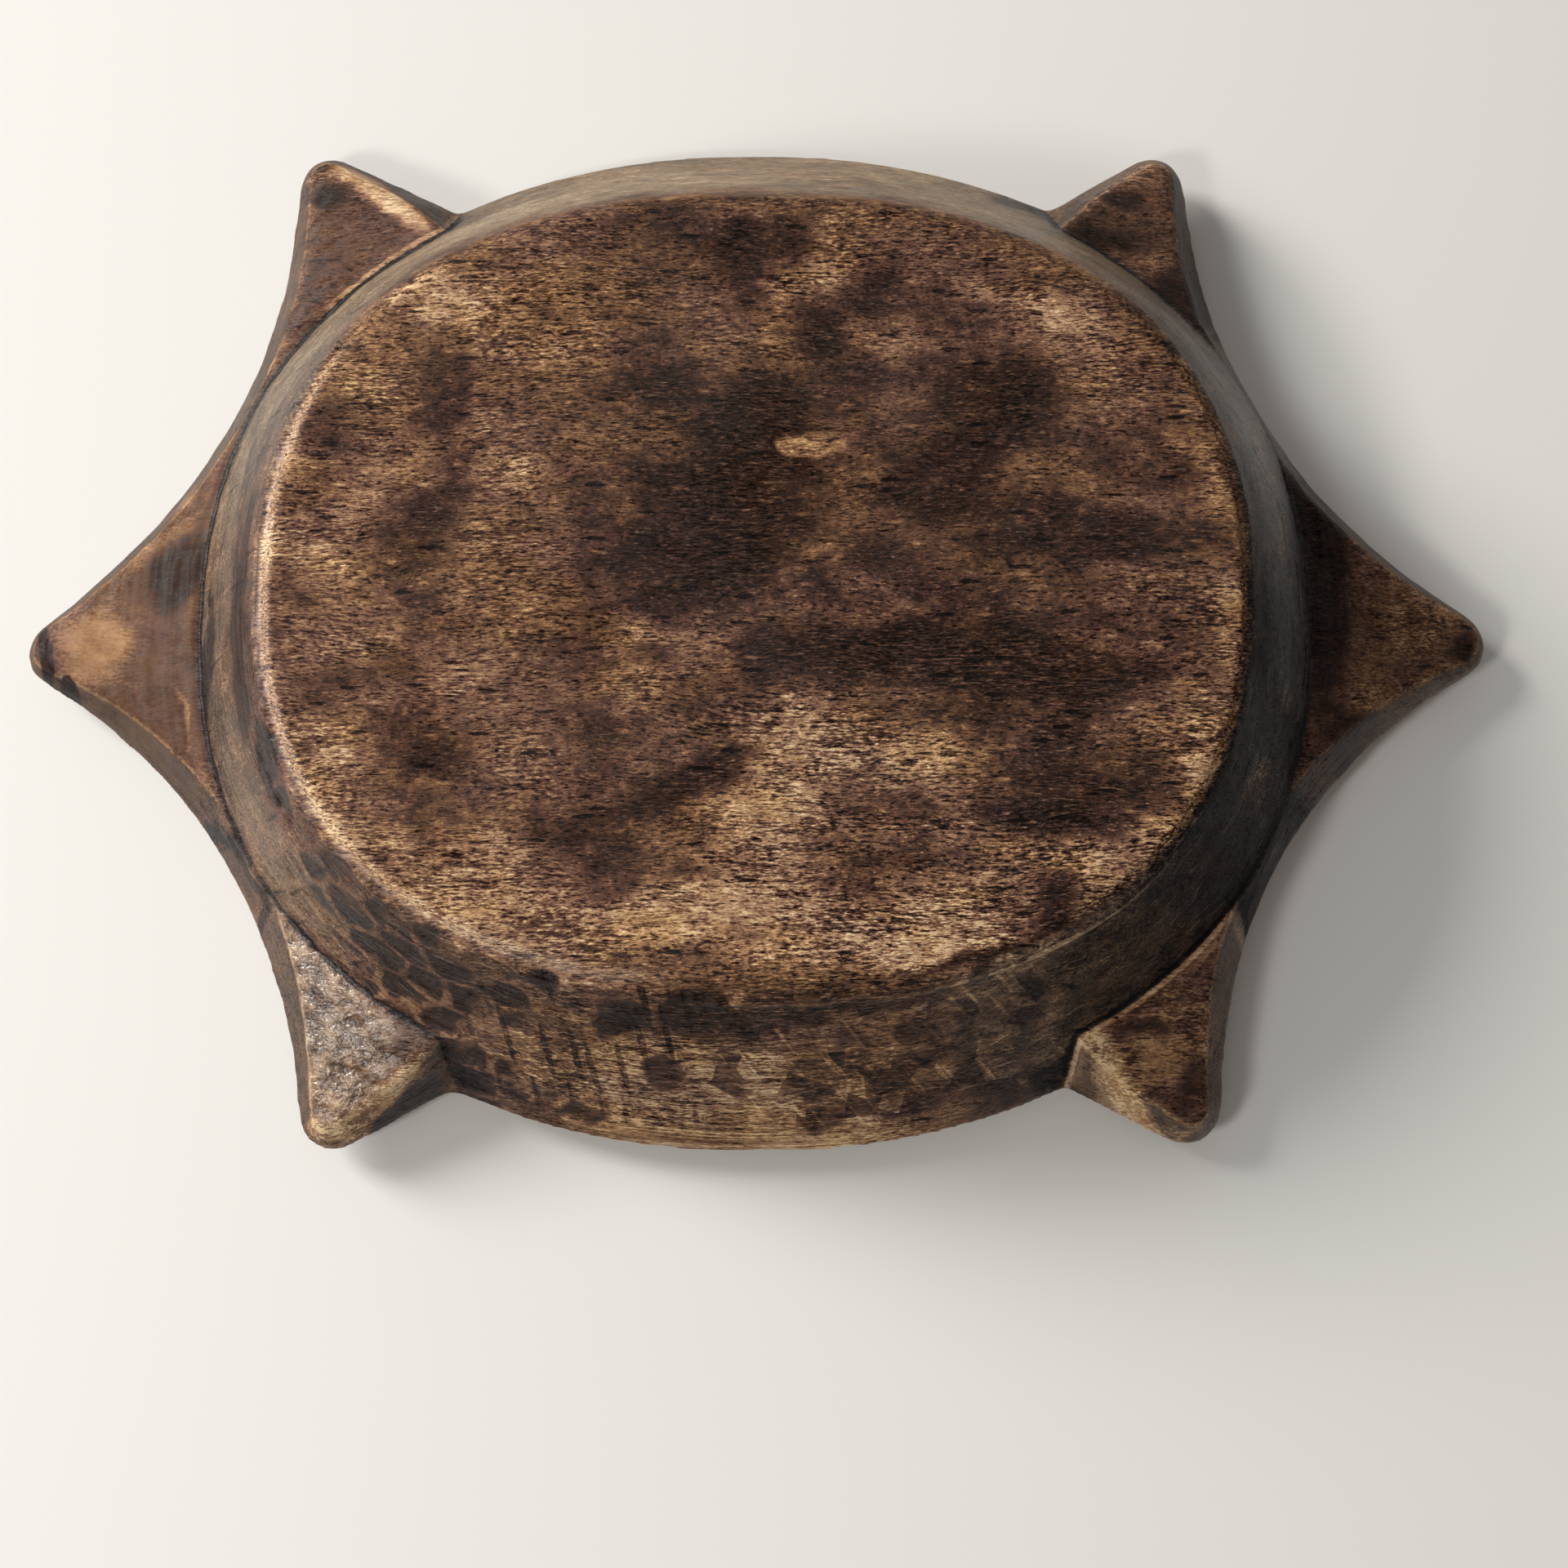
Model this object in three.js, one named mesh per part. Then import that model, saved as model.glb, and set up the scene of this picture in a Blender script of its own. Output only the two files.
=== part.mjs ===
// Oval kneading dish with six pointed lugs, carved from one block of wood.
// Millimetres, mouth up, with +Z up and the origin in the middle of the flat base.
import * as THREE from "three";
import { mergeVertices } from "three/addons/utils/BufferGeometryUtils.js";

// Outside of the bowl: a superellipse at the base and another at the rim, joined by a straight flared wall
const HEIGHT = 74;
const BASE_LENGTH = 298;
const BASE_WIDTH = 245;
const BASE_SQUARENESS = 2.35;
const RIM_LENGTH = 386;
const RIM_WIDTH = 340;
const RIM_SQUARENESS = 2.17;

// Low foot that the base stands on, with a narrow ledge where the wall begins
const FOOT_HEIGHT = 2.5;
const FOOT_LEDGE = 2.5;
const FOOT_CHAMFER = 1;

// Hollow inside
const RIM_WALL = 13;
const FLOOR_WALL = 19;
const FLOOR_THICKNESS = 15;
const FLOOR_FILLET = 26;
const EDGE_CHAMFER = 2;

// Lugs: their underside leaves the wall at the root thickness and thins evenly away from it
const ROOT_THICKNESS = 25;
const TIP_THICKNESS = 9;
const THINNING_RUN = 60;
const SIDE_DRAFT = THREE.MathUtils.degToRad(26);
const LEAST_LEDGE = 1.5;

// One lug at each end: bearings in degrees from +X about the middle
const END_REACH = 49.5;
const END_TIP_RADIUS = 12;
const EAST_BEARING = -1.6;
const WEST_BEARING = 180.9;

// One lug at each corner, cut by hand, so no two are alike. A notch is where a lug meets the plain rim, and
// a pull is how far inside the rim the point lies that draws in the sweeping edge beside the lug.
const NORTHEAST_BEARING = 47.1;
const NORTHEAST_NOTCH_BEARING = 55.6;
const NORTHEAST_REACH = 41.5;
const NORTHEAST_TIP_RADIUS = 11.7;
const NORTHEAST_PULL = 21;
const NORTHWEST_BEARING = 130.8;
const NORTHWEST_NOTCH_BEARING = 123.8;
const NORTHWEST_REACH = 35.7;
const NORTHWEST_TIP_RADIUS = 11.5;
const NORTHWEST_PULL = 26.5;
const SOUTHWEST_BEARING = 228.4;
const SOUTHWEST_NOTCH_BEARING = 236.3;
const SOUTHWEST_REACH = 36.4;
const SOUTHWEST_TIP_RADIUS = 12;
const SOUTHWEST_PULL = 26.5;
const SOUTHEAST_BEARING = 310.5;
const SOUTHEAST_NOTCH_BEARING = 302.5;
const SOUTHEAST_REACH = 36.4;
const SOUTHEAST_TIP_RADIUS = 12;
const SOUTHEAST_PULL = 23.5;
const PULL_BEARING = 22;

// Facets along each stretch of the outline and down the inside fillet
const TIP_FACETS = 6;
const SWEEP_FACETS = 14;
const NOTCH_FACETS = 4;
const RIM_FACETS = 26;
const FILLET_FACETS = 4;
const SETTLING_ROUNDS = 4;
const WELD = 0.001;

// Polar radius of a superellipse: a squareness of 2 is an ellipse, and more is squarer
function ovalRadius(bearing, length, width, squareness) {
  const lengthwise = Math.abs(Math.cos(bearing) / (length / 2)) ** squareness;
  const crosswise = Math.abs(Math.sin(bearing) / (width / 2)) ** squareness;
  return (lengthwise + crosswise) ** (-1 / squareness);
}

function polar(bearing, radius) {
  return new THREE.Vector2(radius * Math.cos(bearing), radius * Math.sin(bearing));
}

function rimRadius(bearing) {
  return ovalRadius(bearing, RIM_LENGTH, RIM_WIDTH, RIM_SQUARENESS);
}

function baseRadius(bearing, inset) {
  return ovalRadius(bearing, BASE_LENGTH - 2 * inset, BASE_WIDTH - 2 * inset, BASE_SQUARENESS);
}

// Outside of the wall at a height: it starts at the ledge round the foot and ends at the rim
function wallRadius(bearing, z) {
  const rise = (z - FOOT_HEIGHT) / (HEIGHT - FOOT_HEIGHT);
  return THREE.MathUtils.lerp(baseRadius(bearing, -FOOT_LEDGE), rimRadius(bearing), rise);
}

// Inside of the wall at a height: it is thinnest at the rim
function hollowRadius(bearing, z) {
  const rise = (z - FLOOR_THICKNESS) / (HEIGHT - FLOOR_THICKNESS);
  return wallRadius(bearing, z) - THREE.MathUtils.lerp(FLOOR_WALL, RIM_WALL, rise);
}

// The round tip of a lug: its furthest point lies at the reach beyond the rim
function lugTip(degrees, reach, radius) {
  const bearing = THREE.MathUtils.degToRad(degrees);
  return { centre: polar(bearing, rimRadius(bearing) + reach - radius), radius };
}

function pointInsideRim(degrees, inset) {
  const bearing = THREE.MathUtils.degToRad(degrees);
  return polar(bearing, rimRadius(bearing) - inset);
}

// Where a straight line from a point touches a round tip: side is 1 for the clockwise side, -1 for the other
function touch(tip, from, side) {
  const away = from.clone().sub(tip.centre);
  const swing = Math.acos(tip.radius / away.length());
  return away.setLength(tip.radius).rotateAround(new THREE.Vector2(), side * swing).add(tip.centre);
}

function tipArc(tip, before, after) {
  const start = touch(tip, before, 1).sub(tip.centre).angle();
  const end = touch(tip, after, -1).sub(tip.centre).angle();
  return new THREE.EllipseCurve(tip.centre.x, tip.centre.y, tip.radius, tip.radius, start, end, false);
}

// Stretch of the rim between two bearings
class RimCurve extends THREE.Curve {
  constructor(startDegrees, endDegrees) {
    super();
    this.start = THREE.MathUtils.degToRad(startDegrees);
    this.end = THREE.MathUtils.degToRad(endDegrees);
  }

  getPoint(t) {
    const bearing = THREE.MathUtils.lerp(this.start, this.end, t);
    return polar(bearing, rimRadius(bearing));
  }
}

// The outline seen from above, anticlockwise from the end lug at +X, as curves with their number of facets
function outlineStretches() {
  const east = lugTip(EAST_BEARING, END_REACH, END_TIP_RADIUS);
  const west = lugTip(WEST_BEARING, END_REACH, END_TIP_RADIUS);
  const northEast = lugTip(NORTHEAST_BEARING, NORTHEAST_REACH, NORTHEAST_TIP_RADIUS);
  const northWest = lugTip(NORTHWEST_BEARING, NORTHWEST_REACH, NORTHWEST_TIP_RADIUS);
  const southWest = lugTip(SOUTHWEST_BEARING, SOUTHWEST_REACH, SOUTHWEST_TIP_RADIUS);
  const southEast = lugTip(SOUTHEAST_BEARING, SOUTHEAST_REACH, SOUTHEAST_TIP_RADIUS);
  const northEastPull = pointInsideRim(PULL_BEARING, NORTHEAST_PULL);
  const northWestPull = pointInsideRim(180 - PULL_BEARING, NORTHWEST_PULL);
  const southWestPull = pointInsideRim(180 + PULL_BEARING, SOUTHWEST_PULL);
  const southEastPull = pointInsideRim(-PULL_BEARING, SOUTHEAST_PULL);
  const northEastNotch = pointInsideRim(NORTHEAST_NOTCH_BEARING, 0);
  const northWestNotch = pointInsideRim(NORTHWEST_NOTCH_BEARING, 0);
  const southWestNotch = pointInsideRim(SOUTHWEST_NOTCH_BEARING, 0);
  const southEastNotch = pointInsideRim(SOUTHEAST_NOTCH_BEARING, 0);

  const sweep = (fromTip, point, toTip) => ({
    curve: new THREE.QuadraticBezierCurve(touch(fromTip, point, -1), point, touch(toTip, point, 1)),
    facets: SWEEP_FACETS,
  });
  const tip = (roundTip, before, after) => ({
    curve: tipArc(roundTip, before, after),
    facets: TIP_FACETS,
  });
  const leave = (roundTip, notch) => ({
    curve: new THREE.LineCurve(touch(roundTip, notch, -1), notch),
    facets: NOTCH_FACETS,
  });
  const meet = (notch, roundTip) => ({
    curve: new THREE.LineCurve(notch, touch(roundTip, notch, 1)),
    facets: NOTCH_FACETS,
  });
  const rim = (fromDegrees, toDegrees) => ({
    curve: new RimCurve(fromDegrees, toDegrees),
    facets: RIM_FACETS,
    onRim: true,
  });

  return [
    tip(east, southEastPull, northEastPull),
    sweep(east, northEastPull, northEast),
    tip(northEast, northEastPull, northEastNotch),
    leave(northEast, northEastNotch),
    rim(NORTHEAST_NOTCH_BEARING, NORTHWEST_NOTCH_BEARING),
    meet(northWestNotch, northWest),
    tip(northWest, northWestNotch, northWestPull),
    sweep(northWest, northWestPull, west),
    tip(west, northWestPull, southWestPull),
    sweep(west, southWestPull, southWest),
    tip(southWest, southWestPull, southWestNotch),
    leave(southWest, southWestNotch),
    rim(SOUTHWEST_NOTCH_BEARING, SOUTHEAST_NOTCH_BEARING),
    meet(southEastNotch, southEast),
    tip(southEast, southEastNotch, southEastPull),
    sweep(southEast, southEastPull, east),
  ];
}

function at(point, z) {
  return new THREE.Vector3(point.x, point.y, z);
}

function lugRootRadius(bearing) {
  return wallRadius(bearing, HEIGHT - ROOT_THICKNESS);
}

function inset(sample, distance) {
  return sample.point.clone().addScaledVector(sample.outward, -distance);
}

// Thickness of a lug this far out from its root on the wall
function lugThickness(run) {
  return THREE.MathUtils.lerp(ROOT_THICKNESS, TIP_THICKNESS, Math.max(run, 0) / THINNING_RUN);
}

// Lower edge of a lug's drafted side. The draft needs the thickness and the thickness needs the place, so a
// few rounds settle both. It never comes nearer to the wall than the least ledge.
function lugUnderEdge(sample) {
  let place = sample.point;
  let thickness = ROOT_THICKNESS;
  for (let round = 0; round < SETTLING_ROUNDS; round += 1) {
    place = inset(sample, thickness * Math.tan(SIDE_DRAFT));
    const run = place.length() - lugRootRadius(place.angle());
    thickness = lugThickness(run);
  }
  const least = lugRootRadius(place.angle()) + LEAST_LEDGE;
  place.setLength(Math.max(place.length(), least));
  return at(place, HEIGHT - thickness);
}

// Points round the outline. Each has its outward direction, the lower edge of the lug's side below it and the
// bearing at which that edge stands over the wall. On the plain rim there is no lug, and at a notch the lug's
// side runs down to the wall.
function outlineSamples() {
  const samples = outlineStretches().flatMap(({ curve, facets, onRim = false }) => {
    const points = curve.getSpacedPoints(facets);
    return points.slice(0, -1).map((point) => ({ point, onRim }));
  });
  samples.forEach((sample, index) => {
    const before = samples.at(index - 1);
    const after = samples[(index + 1) % samples.length];
    const afterNotch = before.onRim && !sample.onRim;
    const atNotch = sample.onRim && !before.onRim;
    const from = afterNotch ? sample.point : before.point;
    const to = atNotch ? sample.point : after.point;
    const along = to.clone().sub(from).normalize();
    sample.outward = new THREE.Vector2(along.y, -along.x);
    sample.bearing = sample.point.angle();
    if (afterNotch || atNotch) {
      const foot = inset(sample, ROOT_THICKNESS * Math.tan(SIDE_DRAFT));
      sample.rootBearing = foot.angle();
    } else if (sample.onRim) {
      sample.rootBearing = sample.bearing;
    } else {
      sample.underEdge = lugUnderEdge(sample);
      sample.rootBearing = new THREE.Vector2(sample.underEdge.x, sample.underEdge.y).angle();
    }
  });
  return samples;
}

function lugRoot(sample) {
  return at(polar(sample.rootBearing, lugRootRadius(sample.rootBearing)), HEIGHT - ROOT_THICKNESS);
}

// One ring of the fillet between the inside wall and the floor, from 0 on the wall to 1 on the floor
function filletPoint(sample, t) {
  const wall = hollowRadius(sample.bearing, FLOOR_THICKNESS + FLOOR_FILLET);
  const corner = hollowRadius(sample.bearing, FLOOR_THICKNESS);
  const profile = new THREE.QuadraticBezierCurve(
    new THREE.Vector2(wall, FLOOR_THICKNESS + FLOOR_FILLET),
    new THREE.Vector2(corner, FLOOR_THICKNESS),
    new THREE.Vector2(corner - FLOOR_FILLET, FLOOR_THICKNESS),
  );
  const point = profile.getPoint(t);
  return at(polar(sample.bearing, point.x), point.y);
}

// Rings of the surface, from the edge of the base round the outside, over the rim and down to the floor
function surfaceRings() {
  const under = (radius, z) => ({ rootBearing }) => at(polar(rootBearing, radius(rootBearing)), z);
  const above = (radius, z) => ({ bearing }) => at(polar(bearing, radius(bearing)), z);
  const outside = [
    under((bearing) => baseRadius(bearing, FOOT_CHAMFER), 0),
    under((bearing) => baseRadius(bearing, 0), FOOT_CHAMFER),
    under((bearing) => baseRadius(bearing, 0), FOOT_HEIGHT),
    under((bearing) => wallRadius(bearing, FOOT_HEIGHT), FOOT_HEIGHT),
    lugRoot,
    (sample) => sample.underEdge ?? lugRoot(sample),
    (sample) => at(sample.point, HEIGHT - EDGE_CHAMFER),
    (sample) => at(inset(sample, EDGE_CHAMFER), HEIGHT),
  ];
  const mouth = [
    above((bearing) => hollowRadius(bearing, HEIGHT) + EDGE_CHAMFER, HEIGHT),
    above((bearing) => hollowRadius(bearing, HEIGHT - EDGE_CHAMFER), HEIGHT - EDGE_CHAMFER),
  ];
  const fillet = [];
  for (let step = 0; step <= FILLET_FACETS; step += 1) {
    fillet.push((sample) => filletPoint(sample, step / FILLET_FACETS));
  }
  return [...outside, ...mouth, ...fillet];
}

// Closes the rings into one skin, with a flat face inside the first ring and another inside the last
function dishGeometry() {
  const samples = outlineSamples();
  const rings = surfaceRings().map((ring) => samples.map(ring));
  const around = samples.length;
  const triangles = [];
  for (let ring = 0; ring + 1 < rings.length; ring += 1) {
    for (let step = 0; step < around; step += 1) {
      const here = ring * around + step;
      const beside = ring * around + ((step + 1) % around);
      triangles.push([here, beside, beside + around]);
      triangles.push([here, beside + around, here + around]);
    }
  }
  const lastRing = (rings.length - 1) * around;
  for (const [a, b, c] of THREE.ShapeUtils.triangulateShape(rings.at(0), [])) {
    triangles.push([c, b, a]);
  }
  for (const [a, b, c] of THREE.ShapeUtils.triangulateShape(rings.at(-1), [])) {
    triangles.push([lastRing + a, lastRing + b, lastRing + c]);
  }

  const skin = new THREE.BufferGeometry().setFromPoints(rings.flat());
  skin.setIndex(triangles.flat());
  const welded = mergeVertices(skin, WELD);
  const corners = Array.from(welded.index.array);
  const kept = [];
  for (let first = 0; first < corners.length; first += 3) {
    const triangle = corners.slice(first, first + 3);
    if (new Set(triangle).size === 3) {
      kept.push(...triangle);
    }
  }
  welded.setIndex(kept);
  welded.computeVertexNormals();
  return welded;
}

const wood = new THREE.MeshStandardMaterial({ color: 0x5b4433, roughness: 0.6, metalness: 0 });
const dish = new THREE.Mesh(dishGeometry(), wood);
dish.name = "dish";

const group = new THREE.Group();
group.add(dish);
export default group;
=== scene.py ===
import math

import bpy
import numpy as np
from mathutils import Matrix, Vector


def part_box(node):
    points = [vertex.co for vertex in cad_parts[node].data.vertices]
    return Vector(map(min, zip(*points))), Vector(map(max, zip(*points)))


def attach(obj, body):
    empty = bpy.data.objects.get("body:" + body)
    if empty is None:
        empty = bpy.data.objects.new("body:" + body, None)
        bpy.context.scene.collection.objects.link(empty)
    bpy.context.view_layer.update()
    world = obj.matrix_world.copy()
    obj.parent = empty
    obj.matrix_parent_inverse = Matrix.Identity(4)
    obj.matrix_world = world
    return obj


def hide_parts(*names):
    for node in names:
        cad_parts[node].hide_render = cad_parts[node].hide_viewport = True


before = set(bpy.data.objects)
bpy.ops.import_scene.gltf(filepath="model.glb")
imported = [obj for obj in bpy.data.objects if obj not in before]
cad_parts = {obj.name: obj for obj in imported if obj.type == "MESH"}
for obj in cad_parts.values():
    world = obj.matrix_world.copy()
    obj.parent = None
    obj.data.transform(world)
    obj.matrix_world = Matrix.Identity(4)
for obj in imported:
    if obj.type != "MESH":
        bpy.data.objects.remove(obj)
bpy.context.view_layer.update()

MM = 0.001
DISH_LOW, DISH_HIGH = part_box("dish")

# Sizes of the dish that the looks follow, as in the CAD model
HEIGHT = (DISH_HIGH.z - DISH_LOW.z) / MM
BASE_LENGTH, BASE_WIDTH, BASE_SQUARENESS = 298.0, 245.0, 2.35
RIM_LENGTH, RIM_WIDTH, RIM_SQUARENESS = 386.0, 340.0, 2.17
FOOT_HEIGHT, FOOT_LEDGE = 2.5, 2.5
FLOOR_THICKNESS = 15.0

# Mean distance of the wall from the middle, and its length up the slope for each millimetre of height
MEAN_RADIUS = 165.0
SLOPE_PER_HEIGHT = 1.15

# Fineness of the visible mesh
VOXEL = 1.35
MOST_TRIANGLES = 190000

# Heights and depths of the hand work, and the height, wavelength and seed of its unevenness
SCALLOP_DEPTH, FAINT_SCALLOP_DEPTH = 0.42, 0.10
GROOVE_DEPTH, EDGE_GOUGE_DEPTH, HOLLOW_GOUGE_DEPTH = 0.38, 0.9, 0.75
CUT_LINE_DEPTH, LIP_HEIGHT, LEDGE_HEIGHT = 1.1, 0.45, 0.7
LUG_DENT_DEPTH, GLOSSY_DENT_DEPTH, BASE_DENT_DEPTH = 0.16, 0.52, 0.2
CHIP_DEPTH, ROLLED_DEPTH, PIT_DEPTH = 0.9, 1.0, 0.3
UNEVENNESS = ((0.5, 80, 11), (0.20, 24, 23), (0.07, 8, 31))

# Direction across the slanting cuts on the lower side of the wall
SLANT_X, SLANT_Z = 0.87, 0.49

# Stretches of the dish, by the bearings in degrees where each one starts, is full, ends and is gone
ROLLED_EDGE = (-84, -60, 18, 44)
BEADED_EDGE = (-84, -62, 8, 40)
SCALLOPED = (-84, -58, -34, -16)
GROOVED = (-122, -108, -86, -78)
SLANT_CUT = (-134, -118, -88, -78)
UPRIGHT_CUT = (-88, -80, -62, -52)
FIBROUS_SIDE = (-130, -108, -68, -50)
LEDGED = (-152, -138, -92, -78)
WORN_RIM = (-112, -96, -76, -62)
STAINED_FOOT = (20, 40, 140, 160)
# Where a lighter band along the middle of the outside wall is a painted sheen
SHEEN_BAND_END = (-50, -25, 60, 95)
SMOOTH_SIDE = (-44, -24, 135, 160)
# Where the wall is painted grey, partly greyed wood and partly a painted sheen
GREYED_AND_SHEEN_SIDE = (4, 30, 150, 168)
OUTSIDE_DARK_END = (-126, -108, 150, 168)
OUTSIDE_SHADED_END = (-172, -168, 138, 150)
POLISHED_LUG = (-20, -12, 16, 30)
SATIN_LUG = (20, 30, 60, 80)
PALE_SIDE_FACE = (-150, -144, -116, -108)
PALE_LIP = (-150, -138, -118, -105)
LIPPED_LUGS = ((-152, -144, -118, -108), (34, 39, 52, 58))
PLAIN_RIMS = ((-122, -120, -61, -58), (54, 57, 117, 120))

# Darker stains and paler worn places, and on the wall some painted shade and painted sheen, as soft ellipses
# seen in plan: x, y, half length, half width, degrees that the ellipse is turned by, and strength
BASE_DARK = (
    (94, 50, 9, 28, 0, 0.55), (104, 10, 13, 20, 0, 0.5), (100, -15, 14, 14, 0, 0.45),
    (114, -34, 20, 10, 0, 0.5), (100, -50, 22, 13, 0, 0.4), (92, -65, 19, 13, 0, 0.35),
    (128, 52, 7, 13, 0, 0.4), (139, -2, 8, 6, 0, 0.5), (25, 112, 22, 10, 0, 0.45), (4, 102, 7, 18, 0, 0.55),
    (30, 68, 16, 10, 0, 0.55), (25, 60, 11, 7, 0, 0.5), (40, 60, 12, 8, 0, 0.4), (4, 32, 26, 30, 0, 0.6),
    (8, 16, 18, 20, 0, 0.6), (24, 4, 16, 13, 0, 0.55), (40, 28, 20, 14, 0, 0.4), (46, 5, 13, 18, 0, 0.4),
    (20, -8, 16, 8, 0, 0.55), (50, -22, 8, 10, 0, 0.4), (33, -24, 7, 4, 0, 0.5), (18, -37, 12, 7, 0, 0.35),
    (-2, -24, 10, 9, 0, 0.5), (50, -40, 14, 8, 0, 0.3), (44, -55, 16, 12, 0, 0.35),
    (58, -72, 16, 10, 0, 0.35), (49, -79, 14, 8, 0, 0.3), (21, -64, 22, 7, -32, 0.7), (8, -57, 10, 7, 0, 0.4),
    (42, -89, 12, 7, 0, 0.4), (22, -86, 8, 5, 0, 0.35), (-5, 110, 12, 12, 0, 0.5), (-22, 82, 8, 9, 0, 0.6),
    (-25, 74, 6, 8, 0, 0.5), (-25, 62, 18, 8, 0, 0.45), (-4, 50, 18, 12, 0, 0.45), (-45, 92, 18, 10, 0, 0.45),
    (-65, 82, 12, 8, 0, 0.35), (-75, 58, 22, 16, 0, 0.7), (-79, 54, 9, 9, 0, 0.5), (-60, 28, 20, 10, 0, 0.6),
    (-100, 15, 16, 13, 0, 0.7), (-125, 15, 16, 9, 0, 0.6), (-90, 27, 12, 7, 0, 0.4), (-38, 8, 10, 6, 0, 0.5),
    (-22, -2, 5, 6, 0, 0.5), (-35, -22, 30, 8, 0, 0.8), (-85, -28, 38, 9, 2, 0.8), (-62, -18, 30, 8, 0, 0.45),
    (-92, -8, 35, 8, 0, 0.35), (-76, -40, 40, 8, 0, 0.4), (-95, -55, 28, 10, 0, 0.4),
    (-90, -66, 26, 9, 0, 0.55), (-118, -62, 8, 10, 0, 0.45), (-80, -72, 16, 6, 0, 0.45),
    (-100, -75, 14, 6, 0, 0.4), (-30, -65, 10, 6, 0, 0.3), (-48, -68, 12, 6, 0, 0.3),
    (-30, -86, 18, 7, 0, 0.3), (-50, -84, 16, 6, 0, 0.45), (-92, -97, 8, 6, 0, 0.75),
    (-85, -103, 10, 6, 0, 0.5), (-70, -113, 24, 3, -8, 0.7), (-130, 30, 8, 8, 0, 0.35),
    (-50, 42, 30, 6, 0, 0.3), (-60, 60, 50, 30, 0, 0.15), (-15, 20, 60, 40, 0, 0.16),
    (-60, -30, 60, 30, 0, 0.14), (-119, 40, 20, 14, 0, 0.4), (-112, 16, 10, 9, 0, 0.35),
    (-140, 8, 8, 14, 0, 0.35), (-68, 15, 19, 9, 0, 0.5), (-67, 3, 24, 8, 0, 0.3), (-120, -15, 20, 8, 0, 0.3),
)
BASE_WORN = (
    (96, 92, 19, 7, 0, 0.9), (85, 87, 8, 6, 0, 0.4), (128, 66, 18, 6, 12, 0.6), (138, 46, 4, 16, 14, 0.5),
    (112, 50, 10, 10, 0, 0.35), (80, 48, 4, 4, 0, 0.6), (78, 36, 12, 8, 0, 0.3), (66, 34, 6, 8, 0, 0.5),
    (75, 75, 14, 8, 0, 0.4), (55, 75, 12, 14, 0, 0.4), (62, 95, 16, 10, 0, 0.3), (80, 12, 12, 6, 0, 0.5),
    (120, 22, 10, 5, 0, 0.4), (130, 8, 12, 10, 0, 0.35), (145, 12, 5, 6, 0, 0.7), (90, -8, 8, 14, 0, 0.35),
    (70, -10, 8, 10, 0, 0.3), (92, -25, 8, 8, 0, 0.4), (85, -33, 10, 7, 0, 0.4), (122, -22, 12, 5, 0, 0.5),
    (130, -46, 11, 12, 0, 0.45), (35, -18, 10, 3, 0, 0.5), (38, -32, 10, 8, 0, 0.45),
    (75, -50, 12, 5, -20, 0.4), (126, -66, 9, 14, 0, 0.6), (110, -81, 14, 8, 0, 0.5),
    (75, -80, 14, 8, 0, 0.45), (60, -101, 50, 13, 0, 0.5), (20, -100, 18, 8, 0, 0.7),
    (55, -110, 16, 4, 0, 0.5), (0, -105, 12, 10, 0, 0.5), (85, -96, 16, 9, 0, 0.35), (15, -90, 6, 6, 0, 0.5),
    (-5, -75, 16, 20, 0, 0.5), (-10, -60, 20, 18, 0, 0.4), (-25, 100, 10, 7, 0, 0.9), (-10, 93, 9, 6, 0, 0.7),
    (-10, 77, 10, 6, 0, 0.6), (-25, 112, 14, 6, 0, 0.3), (-70, 92, 12, 3.5, 32, 0.9),
    (-92, 87, 12, 5, 30, 0.8), (-100, 75, 14, 13, 0, 0.4), (-109, 60, 10, 13, 0, 0.4),
    (-45, 72, 16, 7, 0, 0.5), (-15, 33, 14, 9, 0, 0.3), (-25, 20, 12, 8, 0, 0.25),
    (-136, 35, 5, 14, -30, 0.8), (-128, 45, 5, 5, 0, 0.5), (-115, 28, 8, 6, 0, 0.35),
    (-60, 8, 16, 4, 30, 0.4), (-140, 0, 4, 14, 0, 0.6), (-143, -15, 3, 14, 0, 0.7),
    (-32, -48, 32, 13, 0, 0.38), (-15, -38, 14, 8, 0, 0.4), (-50, -55, 14, 8, 0, 0.35),
    (-135, -52, 8, 16, 0, 0.9), (-125, -75, 10, 12, 30, 0.6), (-110, -89, 16, 7, 25, 0.6),
    (-90, -85, 16, 4, 0, 0.45), (-102, -98, 13, 4, 20, 0.5), (-60, -75, 16, 6, 0, 0.4),
    (-35, -105, 40, 9, 0, 0.6), (-60, -97, 12, 4, 0, 0.7), (-50, -110, 16, 5, 0, 0.6),
    (-10, -112, 20, 6, 0, 0.5), (-80, -108, 16, 4, 14, 0.45), (80, -60, 22, 9, 0, 0.25),
    (-78, -88, 14, 6, 0, 0.25), (114, 64, 10, 8, 0, 0.3), (98, 66, 8, 7, 0, 0.25), (106, 20, 12, 8, 0, 0.3),
)
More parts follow.
